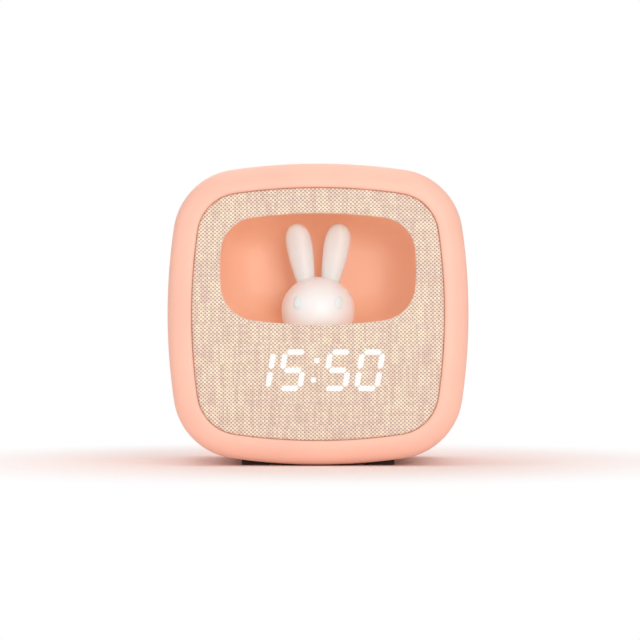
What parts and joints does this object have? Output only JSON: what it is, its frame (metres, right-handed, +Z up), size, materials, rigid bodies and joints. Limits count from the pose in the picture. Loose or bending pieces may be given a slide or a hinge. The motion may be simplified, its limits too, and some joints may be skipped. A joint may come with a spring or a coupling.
{
  "type": "kids alarm clock with night light",
  "caption": "Crowned cube bedside clock with a woven cloth front, slanted digits behind the cloth and a rabbit night light in a rounded bowl; keys and speaker at the back.",
  "frame": {"origin": "centre of the footprint at table height, under the rubber feet", "axes": "+X to the right seen from the front, +Y from the front to the back, +Z up"},
  "size_m": [0.106, 0.08, 0.1064],
  "materials": {
    "shell": "satin moulded plastic",
    "cloth": "woven two-tone yarn",
    "panel": "moulded plastic",
    "bowl": "satin moulded plastic",
    "rabbit": "translucent, soft gloss",
    "ear": "translucent, soft gloss",
    "light_guide": "clear resin",
    "circuit_board": "coated laminate",
    "lamp": "clear lens",
    "reflector": "matte moulded plastic",
    "digit_lit": "lit resin",
    "digit_dark": "unlit resin",
    "component": "moulded plastic",
    "plated_metal": "plated sheet",
    "magnet": "plated",
    "diaphragm": "pressed film",
    "cell": "shrink sleeve",
    "rubber": "matte",
    "screw": "zinc plated",
    "lead": "insulated",
    "key": "satin moulded plastic",
    "knob": "satin moulded plastic"
  },
  "bodies": {
    "case": {"front_shell": "shell", "rear_cover": "shell", "front_fabric": "cloth", "fabric_carrier": "panel", "alcove_liner": "bowl", "rabbit_head": "rabbit", "rabbit_ear_left": "ear", "rabbit_ear_right": "ear", "figure_base": "light_guide", "night_light_board": "circuit_board", "night_light_leds": "lamp", "display_reflector": "reflector", "display_segments_lit": "digit_lit", "display_segments_dark": "digit_dark", "display_board": "circuit_board", "main_board": "circuit_board", "board_parts": "component", "tact_switches": "component", "alarm_switch_body": "component", "usb_shell": "plated_metal", "usb_tongue": "component", "speaker_frame": "component", "speaker_magnet": "magnet", "speaker_diaphragm": "diaphragm", "battery_cell": "cell", "battery_strap": "panel", "rubber_feet": "rubber", "case_screws": "screw", "display_cable": "lead", "battery_lead": "lead", "light_lead": "lead", "speaker_lead": "lead"},
    "key_set": {"button_set": "key", "plunger_set": "component"},
    "key_up": {"button_up": "key", "plunger_up": "component"},
    "key_down": {"button_down": "key", "plunger_down": "component"},
    "key_alarm": {"button_alarm": "key", "plunger_alarm": "component"},
    "key_light": {"button_light": "key", "plunger_light": "component"},
    "alarm_switch": {"alarm_switch_knob": "knob"}
  },
  "joints": [
    {"name": "key_set_press", "type": "slide", "parent": "case", "child": "key_set", "axis": [0, -1, 0], "range_m": [0, 0.0005], "stiffness_N_per_m": 1500, "springref_m": -0.0004},
    {"name": "key_up_press", "type": "slide", "parent": "case", "child": "key_up", "axis": [0, -1, 0], "range_m": [0, 0.0005], "stiffness_N_per_m": 1500, "springref_m": -0.0004},
    {"name": "key_down_press", "type": "slide", "parent": "case", "child": "key_down", "axis": [0, -1, 0], "range_m": [0, 0.0005], "stiffness_N_per_m": 1500, "springref_m": -0.0004},
    {"name": "key_alarm_press", "type": "slide", "parent": "case", "child": "key_alarm", "axis": [0, -1, 0], "range_m": [0, 0.0005], "stiffness_N_per_m": 1500, "springref_m": -0.0004},
    {"name": "key_light_press", "type": "slide", "parent": "case", "child": "key_light", "axis": [0, -1, 0], "range_m": [0, 0.0005], "stiffness_N_per_m": 1500, "springref_m": -0.0004},
    {"name": "alarm_switch_slide", "type": "slide", "parent": "case", "child": "alarm_switch", "axis": [1, 0, 0], "range_m": [0, 0.003]}
  ]
}
